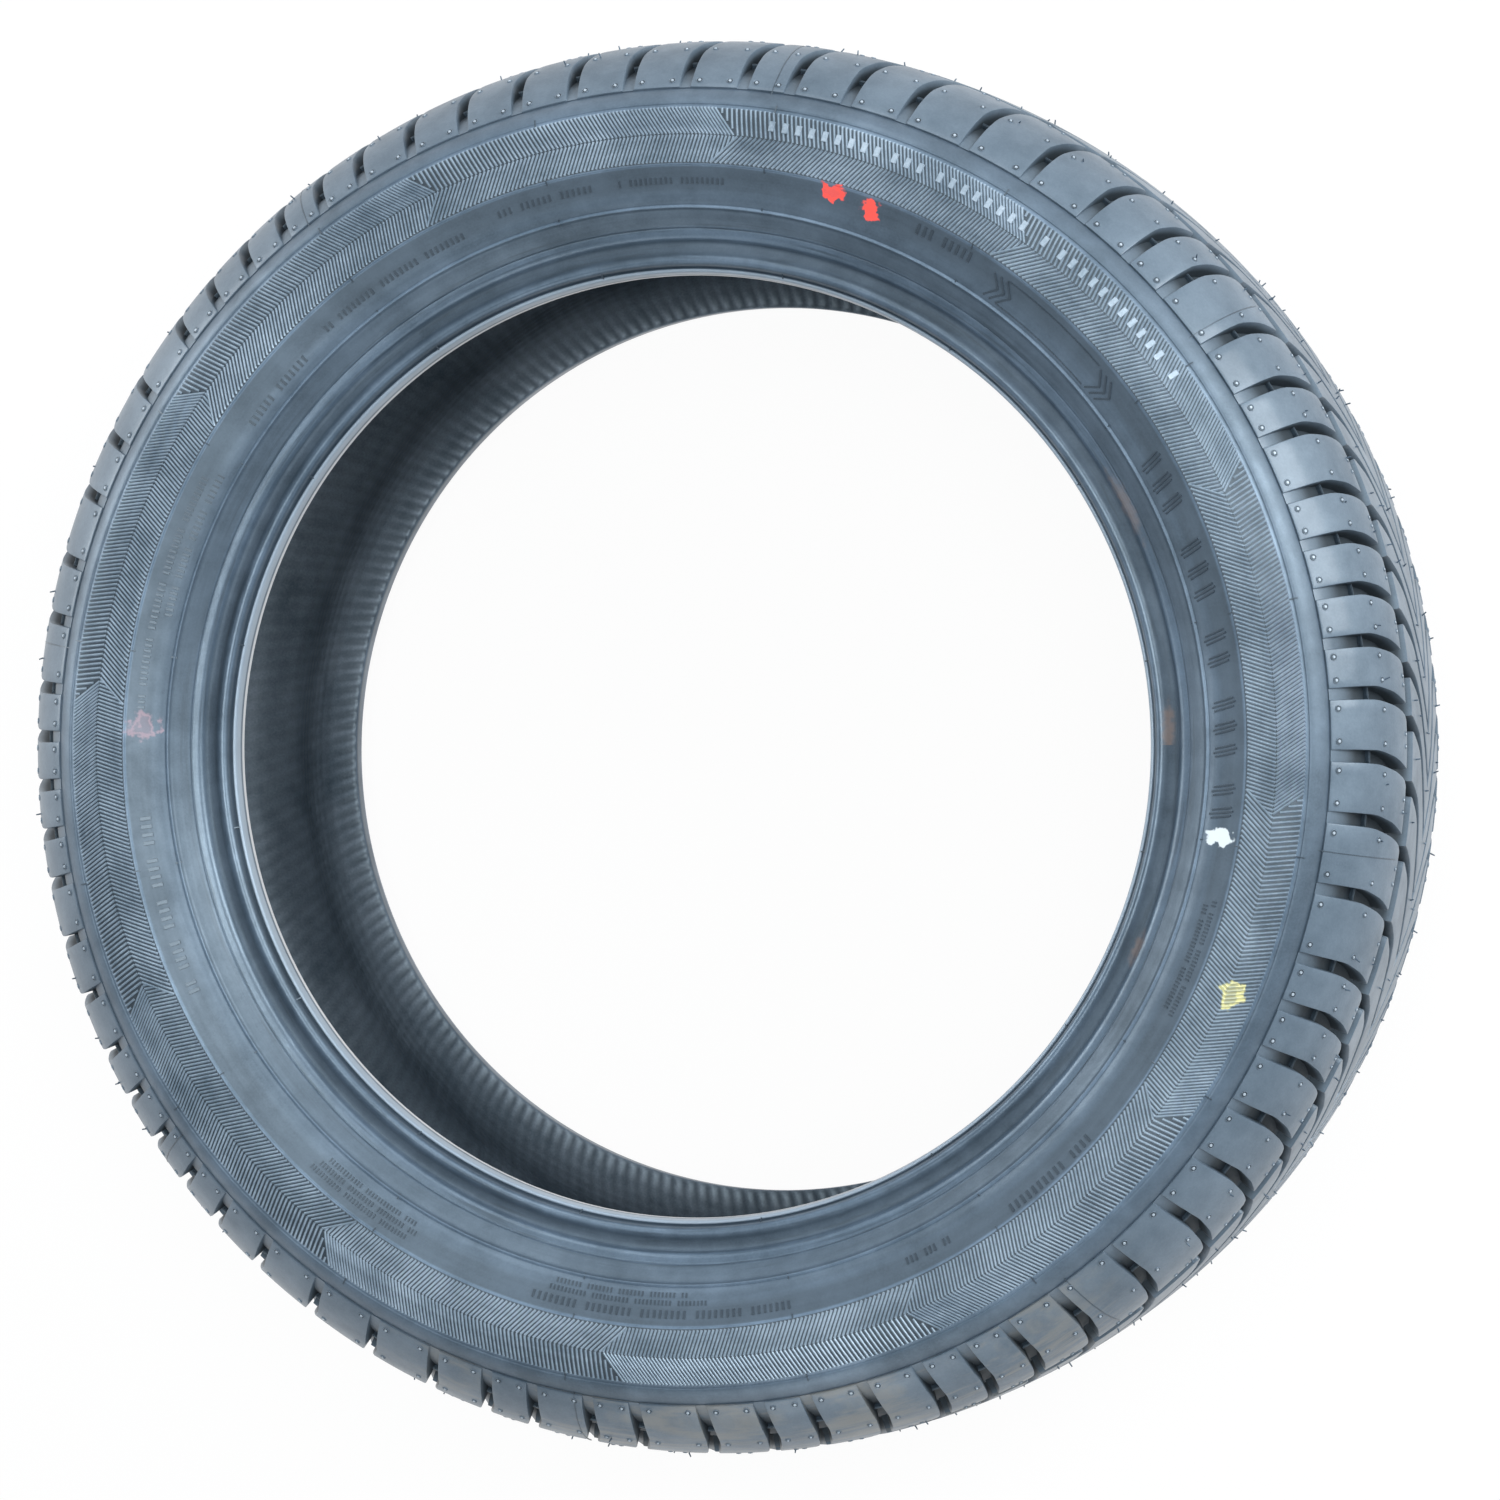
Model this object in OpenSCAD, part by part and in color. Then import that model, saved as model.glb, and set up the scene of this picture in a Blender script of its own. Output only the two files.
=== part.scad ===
// Passenger-car radial tyre, 185/55 R15, off the wheel and lying on one sidewall.
// Millimetres. The turning axis is Z and the mid-plane of the tread is Z = 0.
// The tyre is one moulded piece of rubber; both sidewalls and both tread halves are alike.

/* [Overall] */
// Diameter over the tread at the mid-plane
outer_dia = 582; // [576:1:600]
// Width over the two serrated bands, the widest place
section_w = 202; // [196:1:212]
// Diameter of the two bead seats that grip a 15-inch rim
bead_dia = 380; // [376:0.5:384]

/* [Beads] */
// Width of each straight bead seat
seat_w = 10; // [7:0.5:14]
// Height of the outer edge of a seat above the mid-plane
heel_z = 76; // [72:0.5:80]
// Radius of the rounded heel between seat and bead face
heel_r = 4.5; // [3:0.5:6]

/* [Sidewall] */
// Wall thickness at the widest place
wall_t = 8; // [6:0.5:10]
// Rise of the raised line near the rim over the bead seat
rim_line_rise = 26.5; // [23:0.5:30]
// Height of the raised line above the mid-plane
rim_line_z = 93.5; // [90:0.5:96]
// Width of the raised line
rim_line_w = 1.2; // [0.6:0.1:2]
// Drop of the outer edge of the serrated band below the tread
band_drop = 35; // [31:0.5:41]
// Width of the serrated band
band_w = 23.6; // [18:0.2:28]
// Height of the wall at the outer edge of the band
band_out_z = 98.2; // [95:0.2:100]
// Height of the serrated band over the wall beside it
band_h = 0.7; // [0.3:0.1:1.2]

/* [Tread] */
// Crown radius across the tread
crown_r = 560; // [400:10:900]
// Half width of the flat part of the tread
crown_w = 50; // [46:1:54]
// Drop of the foot of the shoulder blocks below the tread
foot_drop = 26.3; // [23:0.1:30]
// Height of the foot of the shoulder blocks
foot_z = 92; // [88:0.5:94]
// Height of the block foot over the sidewall
foot_h = 0.9; // [0.4:0.1:1.5]
// Depth of the two grooves that run round the tread
groove_d = 7.8; // [6:0.2:9]
// Width of the two grooves that run round the tread
ring_groove_w = 10.5; // [7:0.5:12]
// Depth of the curved grooves and slots between the blocks
cross_d = 7.2; // [5:0.2:8]
// Rubber and cords under the groove floor at the crown
under_t = 8.5; // [6:0.5:12]

/* [Pattern] */
// Width of the groove between two shoulder blocks
cross_w = 5.4; // [3.5:0.1:7]
// Width of the slanting grooves across the middle of the tread
slant_w = 3.2; // [2:0.1:4.5]
// Width of the straight slots over the centre rib
slot_w = 1.8; // [1:0.1:2.5]
// Half length of the straight slots over the centre rib
slot_z = 16; // [13:0.5:19]
// Radius of the rounded block corners at the ring grooves
corner_r = 3; // [1:0.5:4]

/* [Hidden] */
rubber = [0.16, 0.18, 0.20];

Ro = outer_dia / 2;
Rb = bead_dia / 2;
W = section_w / 2;
rim_line_r = Rb + rim_line_rise;
foot_r = Ro - foot_drop;
band_out_r = Ro - band_drop;
band_in_r = band_out_r - band_w;

// One letter a block round the tyre: short, medium and long pitch, to spread the tread noise
pitch_code = str(
    "SSSSMSMLSMLLLMMSMMMMMMMSSSSSLMMLMLSS",
    "SSMMMSSSSMLLLMSMSLMSMMSSMLLMMMSSLLMM");
pitch_len = [4.25, 5.15, 6.05];
function pitch_of(c) = c == "S" ? pitch_len[0] : c == "M" ? pitch_len[1] : pitch_len[2];
blocks = len(pitch_code);
pitches = [for (c = pitch_code) pitch_of(c)];
function total(v, n) = n <= 0 ? 0 : v[n - 1] + total(v, n - 1);
turn = 360 / total(pitches, blocks);
first_groove = 4.2;
function groove_at(i) = first_groove + turn * total(pitches, i);

// Points are [radius, height] everywhere below.
// Circular arc that leaves p0 at angle a0 below the axis direction and ends at p1
function arc_turn(p0, a0, p1) = atan2(p0[0] - p1[0], p1[1] - p0[1]) - a0;
function arc_rho(p0, a0, p1) = norm(p1 - p0) / (2 * sin(arc_turn(p0, a0, p1)));
function arc_point(p0, a0, p1, t) =
    let (rho = arc_rho(p0, a0, p1), a = a0 + 2 * arc_turn(p0, a0, p1) * t)
    [p0[0] - rho * (cos(a0) - cos(a)), p0[1] + rho * (sin(a) - sin(a0))];

// A smooth curve through the given points, n steps between each two
function knot(p, i) = p[max(0, min(len(p) - 1, i))];
function bend(p, i, t) = 0.5 * (2 * knot(p, i) + t * (knot(p, i + 1) - knot(p, i - 1))
    + t * t * (2 * knot(p, i - 1) - 5 * knot(p, i) + 4 * knot(p, i + 1) - knot(p, i + 2))
    + t * t * t * (3 * knot(p, i) - knot(p, i - 1) - 3 * knot(p, i + 1) + knot(p, i + 2)));
function smooth(p, n) = concat([for (i = [0:len(p) - 2], k = [0:n - 1]) bend(p, i, k / n)], [p[len(p) - 1]]);
function between(a, b, u, v) = [a[0] + (b[0] - a[0]) * u, a[1] + (b[1] - a[1]) * v];
function back(v) = [for (i = [len(v) - 1:-1:0]) v[i]];
function mirrored(v) = [for (p = v) [p[0], -p[1]]];
function flip(v) = back(mirrored(v));

// Crown and shoulder of the tread
crown_a = asin(crown_w / crown_r);
function crown(z) = Ro - crown_r + sqrt(crown_r * crown_r - z * z);
edge = [crown(crown_w), crown_w];
foot = [foot_r, foot_z];
foot_a = crown_a + 2 * arc_turn(edge, crown_a, foot);
rho = arc_rho(edge, crown_a, foot);
function shoulder(t) = arc_point(edge, crown_a, foot, t);
function shoulder_a(t) = crown_a + (foot_a - crown_a) * t;
function below(t, d) = shoulder(t) - d * [cos(shoulder_a(t)), sin(shoulder_a(t))];
function surface_r(z) = abs(z) <= crown_w ? crown(z)
    : let (s = (min(abs(z), foot_z) - crown_w) / rho + sin(crown_a))
      edge[0] - rho * (cos(crown_a) - sqrt(1 - s * s));

// Outer side of one half, from the mid-plane to the bead seat
ring_z = crown_w - ring_groove_w;
crown_side = concat(
    [[crown(0), 0], [crown(ring_z), ring_z]],
    [[crown(ring_z) - groove_d, ring_z + 1.6], [crown(crown_w) - groove_d, crown_w - 1.6]],
    [for (k = [0:5]) shoulder(k / 5)]);

heel_c = [Rb + heel_r, heel_z];
heel_top = heel_c + [0, heel_r];
rim_line = [rim_line_r, rim_line_z];
band_in = [band_in_r, W - band_h];
band_out = [band_out_r, band_out_z];
band_mid = [(band_in_r + band_out_r) / 2 - 2, W];
foot_wall = foot - foot_h * [cos(foot_a), sin(foot_a)] - 0.15 * [sin(foot_a), -cos(foot_a)];
wall_side = concat(
    [foot_wall],
    smooth([between(foot_wall, band_out, 0.15, 0.14), between(foot_wall, band_out, 0.5, 0.53),
        between(foot_wall, band_out, 0.88, 0.89)], 2),
    [band_out],
    smooth([band_out + [-0.3, band_h], band_mid, band_in + [0.3, band_h]], 3),
    [band_in],
    smooth([between(rim_line, band_in, 0.87, 0.86), between(rim_line, band_in, 0.49, 0.5), rim_line], 3),
    [rim_line + [0, 0.9], rim_line + [-rim_line_w, 0.3]],
    smooth([for (s = [[0.9, 0.87], [0.76, 0.67], [0.64, 0.51], [0.51, 0.25], [0.39, 0.14], [0.3, 0.17], [0.24, 0.24],
        [0.17, 0.28], [0.095, 0.24], [0.034, 0.116]]) between(heel_top, rim_line, s[0], s[1])], 2));
heel_side = [for (a = [90:15:180]) heel_c + heel_r * [cos(a), sin(a)]];

// Inner side of one half, from the bead toe to the mid-plane
toe_z = heel_z - seat_w;
liner_r = Ro - groove_d - under_t;
liner_side = concat(
    [[Rb, toe_z], [Rb + 0.7, toe_z - 1.3], [Rb + 2.2, toe_z - 2]],
    smooth([[Rb + 5, toe_z - 1.6], [Rb + 14, toe_z + 2], rim_line + [-1.2, -7 - wall_t],
        between(rim_line, band_in, 0.52, 0.45) + [0, 0.5 - wall_t], band_in + [2.5, 0.5 - wall_t],
        band_mid + [3.3, -wall_t], band_out - [0.3, wall_t + 1], foot - [2.2, wall_t + 0.5],
        [liner_r - 7.2, crown_w + 26.5], [liner_r - 4, crown_w + 17.5], [liner_r - 2.1, crown_w + 5],
        [liner_r - 0.9, crown_w - 12], [liner_r - 0.2, crown_w - 30], [liner_r, 0]], 2));

half = concat(crown_side, wall_side, heel_side, liner_side);
outline = concat(half, [for (p = flip(half)) if (p[1] < 0) p]);

// Depth of the grooves between the blocks: a shelf at the sidewall, a step, then full depth
shelf = [[1, foot_h], [0.78, foot_h + 0.8], [0.77, foot_h + 2.4], [0.48, foot_h + 3.3], [0.47, cross_d], [0.1, cross_d]];
floor_side = concat(
    [[crown(0) - cross_d, 0]],
    [for (k = [len(shelf) - 1:-1:0]) below(shelf[k][0], shelf[k][1])],
    [foot + [-0.6, 0.15], foot + [-0.6, 12], [Ro + 12, foot_z + 12]]);
floor_all = concat(floor_side, [for (p = flip(floor_side)) if (p[1] < 0) p]);

// Run of one groove over half the tread: [degrees from its start, height, half width]
run = [
    [0, foot_z + 6, cross_w * 0.44], [-0.05, foot_z - 18, cross_w / 2],
    [-0.6, crown_w + 12, cross_w / 2], [-1.4, crown_w, cross_w * 0.43],
    [-2.35, ring_z + 1, cross_w * 0.43], [-2.75, ring_z - 4, slant_w * 0.58],
    [-4.8, ring_z - 11.5, slant_w / 2], [-10, slot_z, slant_w * 0.42]];
lean = -5;
function place(p) = [surface_r(p[1]) * sin(p[0] - lean), p[1]];
path = [for (p = run) place(p)];
function along(i) = let (d = path[min(i + 1, len(path) - 1)] - path[max(i - 1, 0)]) d / norm(d);
function side(i, s) = path[i] + s * run[i][2] * [-along(i)[1], along(i)[0]];
upper = [for (i = [0:len(path) - 1]) side(i, 1)];
lower = [for (i = [0:len(path) - 1]) side(i, -1)];
mouth = lower[3];
lug = lower[4];
lower_round = concat([for (i = [0:2]) lower[i]],
    [mouth + [0.15, corner_r], mouth - [corner_r, 0.4], lug - [corner_r, -0.4], lug - [-0.15, corner_r]],
    [for (i = [6:len(path) - 1]) lower[i]]);
slot_x = place([-10.2, 0])[0];
slot_side = [[slot_x + slot_w / 2, slot_z - 2], [slot_x - slot_w / 2, slot_z - 3]];
upper_half = concat(upper, [slot_side[0]]);
lower_half = concat(lower_round, [slot_side[1]]);
vee = concat(upper_half, flip(upper_half), mirrored(lower_half), back(lower_half));

// Solid cut away between two rows of blocks
module groove() {
    intersection() {
        rotate([0, 0, lean]) rotate([90, 0, 90]) linear_extrude(height = Ro + 8) polygon(vee);
        rotate([0, 0, -14]) rotate_extrude(angle = 20, $fn = 360) polygon(floor_all);
    }
}

// The whole tyre: carcass, beads, ribs and grooved tread
module tyre() {
    color(rubber)
    difference() {
        rotate_extrude($fn = 360) polygon(outline);
        for (i = [0:blocks - 1]) rotate([0, 0, groove_at(i)]) groove();
    }
}

tyre();
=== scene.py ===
import bisect
import math
import random

import bmesh
import bpy
from mathutils import Euler, Matrix, Vector


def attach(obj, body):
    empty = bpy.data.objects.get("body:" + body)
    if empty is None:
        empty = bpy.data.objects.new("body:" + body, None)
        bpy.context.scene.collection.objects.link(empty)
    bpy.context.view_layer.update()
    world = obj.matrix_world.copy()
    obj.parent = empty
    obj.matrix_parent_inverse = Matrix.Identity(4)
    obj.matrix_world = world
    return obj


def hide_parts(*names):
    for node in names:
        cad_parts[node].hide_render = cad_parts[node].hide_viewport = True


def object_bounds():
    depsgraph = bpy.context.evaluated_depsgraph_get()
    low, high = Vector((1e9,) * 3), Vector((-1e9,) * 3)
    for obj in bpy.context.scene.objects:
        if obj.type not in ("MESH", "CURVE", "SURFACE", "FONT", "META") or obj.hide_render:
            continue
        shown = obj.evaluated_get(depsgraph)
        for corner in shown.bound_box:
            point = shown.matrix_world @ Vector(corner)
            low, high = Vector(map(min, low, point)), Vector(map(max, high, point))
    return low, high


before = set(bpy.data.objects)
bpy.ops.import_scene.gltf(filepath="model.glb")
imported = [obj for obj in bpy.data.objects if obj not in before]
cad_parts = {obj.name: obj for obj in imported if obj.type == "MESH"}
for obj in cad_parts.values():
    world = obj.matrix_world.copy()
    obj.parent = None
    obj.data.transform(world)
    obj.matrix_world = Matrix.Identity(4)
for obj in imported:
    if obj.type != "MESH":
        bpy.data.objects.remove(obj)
cad_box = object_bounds()


# Studio: a pale floor under the tyre, four large soft boxes round it and one behind the camera.
# The tyre lies on one sidewall, and the camera looks down on the other one from a little to the right.
mm = 0.001
floor_z = cad_box[0][2]
floor_half = 6.0


def start_from(primitive, **sizes):
    """Adds a primitive with nothing else selected, and opens it for shaping."""
    bpy.ops.object.select_all(action="DESELECT")
    primitive(**sizes)
    bpy.ops.object.mode_set(mode="EDIT")
    return bpy.context.object


floor = start_from(bpy.ops.mesh.primitive_plane_add, size=2 * floor_half)
floor.name = floor.data.name = "floor"
bpy.ops.transform.translate(value=(0, 0, floor_z))
bpy.ops.object.mode_set(mode="OBJECT")


def put(tree, kind, feeds=(), **settings):
    """A node with its settings, and each feed given as (input, value or socket)."""
    made = tree.nodes.new(kind)
    for key, value in settings.items():
        setattr(made, key, value)
    for entry, feed in feeds:
        if isinstance(feed, bpy.types.NodeSocket):
            tree.links.new(feed, made.inputs[entry])
        else:
            made.inputs[entry].default_value = feed
    return made


def calc(tree, operation, *terms):
    """Arithmetic on sockets and numbers."""
    return put(tree, "ShaderNodeMath", tuple(enumerate(terms)), operation=operation).outputs[0]


def blank_material(name):
    """A material with nothing but its output node."""
    made = bpy.data.materials.new(name)
    made.use_nodes = True
    made.node_tree.nodes.clear()
    return made, made.node_tree


def ramp_between(tree, value, low, high, start=0.0, end=1.0, bend="SMOOTHSTEP"):
    """A value that goes from start to end while another goes from low to high."""
    made = put(tree, "ShaderNodeMapRange", [(0, value), (1, low), (2, high), (3, start), (4, end)],
               interpolation_type=bend)
    return made.outputs[0]


def seen_directly(tree):
    """1 on rays that come from the camera, also by way of a mirror or a glass."""
    rays = put(tree, "ShaderNodeLightPath").outputs
    seen = calc(tree, "MAXIMUM", rays["Is Camera Ray"], rays["Is Glossy Ray"])
    return calc(tree, "MAXIMUM", seen, rays["Is Transmission Ray"])


floor_colour = (0.76, 0.77, 0.78, 1)
floor_glow = 0.95
floor_material, tree = blank_material("white_paper_floor")
paper = put(tree, "ShaderNodeBsdfDiffuse", [("Color", floor_colour)])
glow = put(tree, "ShaderNodeEmission", [("Color", (1, 1, 1, 1)), ("Strength", 1.0)])
seen = calc(tree, "MULTIPLY", seen_directly(tree), floor_glow)
mixed = put(tree, "ShaderNodeMixShader", [(0, seen), (1, paper.outputs[0]), (2, glow.outputs[0])])
put(tree, "ShaderNodeOutputMaterial", [("Surface", mixed.outputs[0])])
floor.data.materials.append(floor_material)

room_light = 0.34
ceiling_light = 0.3
far_wall_light = 0.3
room_colour = (0.93, 0.965, 1, 1)
room = bpy.data.worlds.new("studio_room")
bpy.context.scene.world = room
room.use_nodes = True
tree = room.node_tree
tree.nodes.clear()
# The room lights the tyre nearly evenly. Looked at, it is white low down and dim overhead
sight = put(tree, "ShaderNodeTexCoord").outputs["Generated"]
x, y, z = put(tree, "ShaderNodeSeparateXYZ", [(0, sight)]).outputs
ceiling = ramp_between(tree, z, 0.3, 0.6, 1.0, ceiling_light, "LINEAR")
far_wall = ramp_between(tree, y, -0.9, 0.3, far_wall_light, room_light, "LINEAR")
strength = put(tree, "ShaderNodeMix", [(0, seen_directly(tree)), (2, far_wall), (3, ceiling)]).outputs[0]
sky = put(tree, "ShaderNodeBackground", [("Color", room_colour), ("Strength", strength)])
put(tree, "ShaderNodeOutputWorld", [("Surface", sky.outputs[0])])

soft_boxes = {
    "box_right": ((1.95, 0.95, 0.8), 1.5, 60),
    "box_left": ((-2.1, 0.8, 0.4), 1.6, 44),
    "box_top": ((0.1, 2.1, 1.3), 1.3, 17),
    "box_low": ((0.1, -2.2, 0.7), 1.3, 11),
    "box_front": ((0.5, 0.15, 2.35), 1.3, 44)}
for name, (place, side, power) in soft_boxes.items():
    lamp = bpy.data.lights.new(name, "AREA")
    lamp.shape = "SQUARE"
    lamp.size = side
    lamp.energy = power
    lamp.color = (1, 1, 1)
    holder = bpy.data.objects.new(name, lamp)
    holder.location = place
    holder.rotation_euler = (-Vector(place)).to_track_quat("-Z", "Y").to_euler()
    bpy.context.scene.collection.objects.link(holder)

camera_yaw = math.radians(14.699)
camera_pitch = math.radians(-0.409)
camera_distance = 2.1184
camera_aside = Vector((0.00713, -0.00103))
camera_lens = 121.376
back = Vector((math.sin(camera_yaw) * math.cos(camera_pitch), math.sin(camera_pitch),
               math.cos(camera_yaw) * math.cos(camera_pitch)))
right = Vector((0, 1, 0)).cross(back).normalized()
up = back.cross(right)
turn = Matrix((right, up, back)).transposed().to_4x4()
spot = back * camera_distance + right * camera_aside.x + up * camera_aside.y
lens = bpy.data.cameras.new("camera")
lens.lens = camera_lens
lens.sensor_width = 36
lens.clip_start = 0.05
camera = bpy.data.objects.new("camera", lens)
camera.matrix_world = Matrix.Translation(spot) @ turn
bpy.context.scene.collection.objects.link(camera)
bpy.context.scene.camera = camera
bpy.context.scene.view_settings.view_transform = "Standard"


# Carcass: the two beads, both sidewalls and the liner, one moulded skin of black rubber.
# It is turned like the mould that forms it: half a section is drawn, mirrored and spun round the axis.
outer_r = cad_box[1][0] / mm
carcass_steps = 240


def smooth_through(points, steps):
    """Points on a soft curve that passes through the given ones."""
    curve = []
    for i in range(len(points) - 1):
        a, b, c, d = (Vector(points[max(0, min(len(points) - 1, k))]) for k in (i - 1, i, i + 1, i + 2))
        for k in range(steps):
            t = k / steps
            curve.append(tuple(0.5 * (2 * b + t * (c - a) + t * t * (2 * a - 5 * b + 4 * c - d)
                                      + t * t * t * (3 * b - a - 3 * c + d))))
    return curve + [tuple(points[-1])]


def draw_section(name, points, closed):
    """A new mesh in edit mode: the line through points given as (radius, height) in millimetres."""
    made = start_from(bpy.ops.mesh.primitive_plane_add, size=mm)
    made.name = made.data.name = name
    bpy.ops.mesh.select_mode(type="VERT")
    bpy.ops.mesh.merge(type="CENTER")
    last = (0, 0)
    for count, (r, z) in enumerate(points):
        step = ((r - last[0]) * mm, 0, (z - last[1]) * mm)
        if count == 0:
            bpy.ops.transform.translate(value=step)
        else:
            bpy.ops.mesh.extrude_region_move(TRANSFORM_OT_translate={"value": step})
        last = (r, z)
    if closed:
        ends = [v for v in bmesh.from_edit_mesh(made.data).verts if len(v.link_edges) == 1]
        for v in ends:
            v.select = True
        bpy.ops.mesh.edge_face_add()
    bpy.ops.mesh.select_all(action="SELECT")
    return made


bead_side = smooth_through([
    (191.2, 77.4), (191.4, 78.8), (191.8, 79.6), (192.4, 79.9), (193.0, 79.6), (193.3, 79.6), (193.6, 80.6),
    (193.9, 82.0), (194.6, 83.3), (195.6, 84.1), (196.8, 84.2), (198.0, 83.6), (199.4, 82.6), (201.2, 82.0),
    (202.8, 82.0), (203.7, 83.0), (204.6, 84.5), (205.7, 85.4), (207.0, 85.95), (208.0, 86.3)], 3)
part_line = [(208.2, 86.3), (208.4, 86.35), (208.65, 86.9), (208.9, 87.3)]
rim_zone = smooth_through([(209.1, 87.5), (211.3, 89.4), (213.4, 91.2), (215.2, 92.5)], 2)
rib_line = [(215.6, 93.3), (215.8, 93.75), (216.05, 93.95), (216.3, 93.95), (216.9, 93.5), (217.2, 93.45)]
text_zone = smooth_through([(217.6, 93.75), (219.0, 94.75), (221.0, 95.75), (224.3, 96.95), (230.3, 99.35),
                            (231.9, 99.95)], 3)
band_zone = [(232.25, 100.05), (232.45, 100.5), (232.75, 100.72)] + smooth_through([
    (233.4, 100.75), (242.2, 100.75), (249.6, 100.05), (255.2, 98.8)], 3) + [(255.5, 98.68), (256.1, 98.2)]
fine_lines = [(256.5, 97.8), (256.9, 97.75), (257.2, 97.95), (257.5, 97.95), (258.4, 97.45)]
foot_zone = smooth_through([
    (259.4, 96.85), (260.6, 95.85), (261.8, 94.6), (263.2, 92.8), (264.18, 91.2)], 3)
under_tread = [(265.0, 88.8), (267.2, 84.6), (269.2, 80.6), (271.6, 75.5), (274.0, 68), (278.4, 50),
               (279.4, 30), (279.6, 10)]
liner_side = [(190.9, 70.9), (191.2, 70.2), (191.8, 69.8), (192.8, 69.6)] + smooth_through([
    (195, 69.4), (199, 69.5), (204, 71.0), (209.5, 74.2), (215.3, 79.0), (224.8, 89.1), (234.9, 92.8),
    (245.5, 93), (255.7, 89.2), (262.5, 83.5), (267.5, 76.5), (270.7, 67.5), (272.6, 55), (273.8, 38),
    (274.5, 20), (274.7, 5)], 3)
seat = [(191.05, 75.2), (190.9, 73.2), (190.8, 71.8)]
outer_side = (bead_side + part_line + rim_zone + rib_line + text_zone + band_zone + fine_lines + foot_zone
              + under_tread)
half_section = outer_side[::-1] + seat + liner_side
section = half_section + [(r, -z) for r, z in half_section[::-1]]


def close_up(gap=None):
    """Merges points that lie within a gap of each other in the open piece, and turns its faces outwards."""
    bpy.ops.mesh.select_all(action="SELECT")
    if gap:
        bpy.ops.mesh.remove_doubles(threshold=gap * mm)
    bpy.ops.mesh.normals_make_consistent(inside=False)


carcass = draw_section("carcass", section, closed=True)
bpy.ops.mesh.spin(steps=carcass_steps, angle=2 * math.pi, center=(0, 0, 0), axis=(0, 0, -1))
close_up(0.02)
bpy.ops.object.mode_set(mode="OBJECT")
bpy.ops.object.shade_smooth_by_angle(angle=math.radians(40))


def open_group(name, inputs, outputs):
    """A new shader group with its named sockets, and its input and output nodes."""
    made = bpy.data.node_groups.new(name, "ShaderNodeTree")
    for side, sockets in (("INPUT", inputs), ("OUTPUT", outputs)):
        for label, kind in sockets:
            made.interface.new_socket(label, in_out=side, socket_type="NodeSocket" + kind)
    return made, made.nodes.new("NodeGroupInput").outputs, made.nodes.new("NodeGroupOutput").inputs


def use_group(tree, group, feeds=()):
    """Places a shader group in a tree and gives back its outputs."""
    return put(tree, "ShaderNodeGroup", feeds, node_tree=group).outputs


def blend_colours(tree, amount, first, second, how="MIX"):
    """One colour laid over another by an amount from 0 to 1."""
    made = put(tree, "ShaderNodeMix", [(0, amount), (6, first), (7, second)],
               data_type="RGBA", blend_type=how)
    return made.outputs[2]


def inside_band(tree, value, low, high, soft):
    """1 where a value lies between two limits, fading out over a soft edge."""
    rise = ramp_between(tree, value, low - soft, low + soft)
    fall = ramp_between(tree, value, high - soft, high + soft, 1.0, 0.0)
    return calc(tree, "MULTIPLY", rise, fall)


def diagonal(tree, first, second):
    """Length of the diagonal over two lengths at right angles."""
    squares = (calc(tree, "MULTIPLY", first, first), calc(tree, "MULTIPLY", second, second))
    return calc(tree, "SQRT", calc(tree, "ADD", *squares))


def noise(tree, place, scale, detail, rough=0.5):
    """A random pattern from 0 to 1 over a place."""
    made = put(tree, "ShaderNodeTexNoise", [("Vector", place), ("Scale", scale), ("Detail", detail),
                                            ("Roughness", rough)])
    return made.outputs[0]


def relief(tree, height):
    """The slopes of a fine relief whose height is given in metres."""
    made = put(tree, "ShaderNodeBump", [("Strength", 1.0), ("Distance", 1.0), ("Height", height)])
    return made.outputs[0]


# Where a point is on the tyre: radius and height in millimetres, and degrees round the axis
round_place, given, wanted = open_group("place_on_tyre", [], [
    ("Radius", "Float"), ("Height", "Float"), ("Degrees", "Float"), ("Ring", "Vector")])
tree = round_place
point = put(tree, "ShaderNodeTexCoord").outputs["Object"]
x, y, z = put(tree, "ShaderNodeSeparateXYZ", [(0, point)]).outputs
radius = diagonal(tree, x, y)
degrees = calc(tree, "DEGREES", calc(tree, "ARCTAN2", y, x))
degrees = calc(tree, "MODULO", calc(tree, "ADD", degrees, 360.0), 360.0)
# A place for patterns that run round the tyre and change quickly across it
ring_x = calc(tree, "DIVIDE", x, radius)
ring_y = calc(tree, "DIVIDE", y, radius)
ring_z = calc(tree, "MULTIPLY", calc(tree, "ADD", radius, z), 100.0)
ring = put(tree, "ShaderNodeCombineXYZ", [(0, ring_x), (1, ring_y), (2, ring_z)]).outputs[0]
tree.links.new(calc(tree, "MULTIPLY", radius, 1 / mm), wanted["Radius"])
tree.links.new(calc(tree, "MULTIPLY", z, 1 / mm), wanted["Height"])
tree.links.new(degrees, wanted["Degrees"])
tree.links.new(ring, wanted["Ring"])

# Moulded rubber: cloudy bloom, streaks that run round the tyre, and a fine grain
rubber, given, wanted = open_group("moulded_rubber", [
    ("Dark", "Color"), ("Light", "Color"), ("Cloud", "Float"), ("Streak", "Float"), ("Grain", "Float")], [
    ("Color", "Color"), ("Roughness", "Float"), ("Height", "Float")])
tree = rubber
point = put(tree, "ShaderNodeTexCoord").outputs["Object"]
ring = use_group(tree, round_place)["Ring"]
cloud = calc(tree, "SUBTRACT", noise(tree, point, 22.0, 5.0, 0.6), 0.5)
patch = noise(tree, point, 95.0, 4.0, 0.6)
grain = calc(tree, "SUBTRACT", noise(tree, point, 1100.0, 2.0), 0.5)
streak = calc(tree, "SUBTRACT", noise(tree, ring, 2.6, 4.0, 0.55), 0.5)
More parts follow.
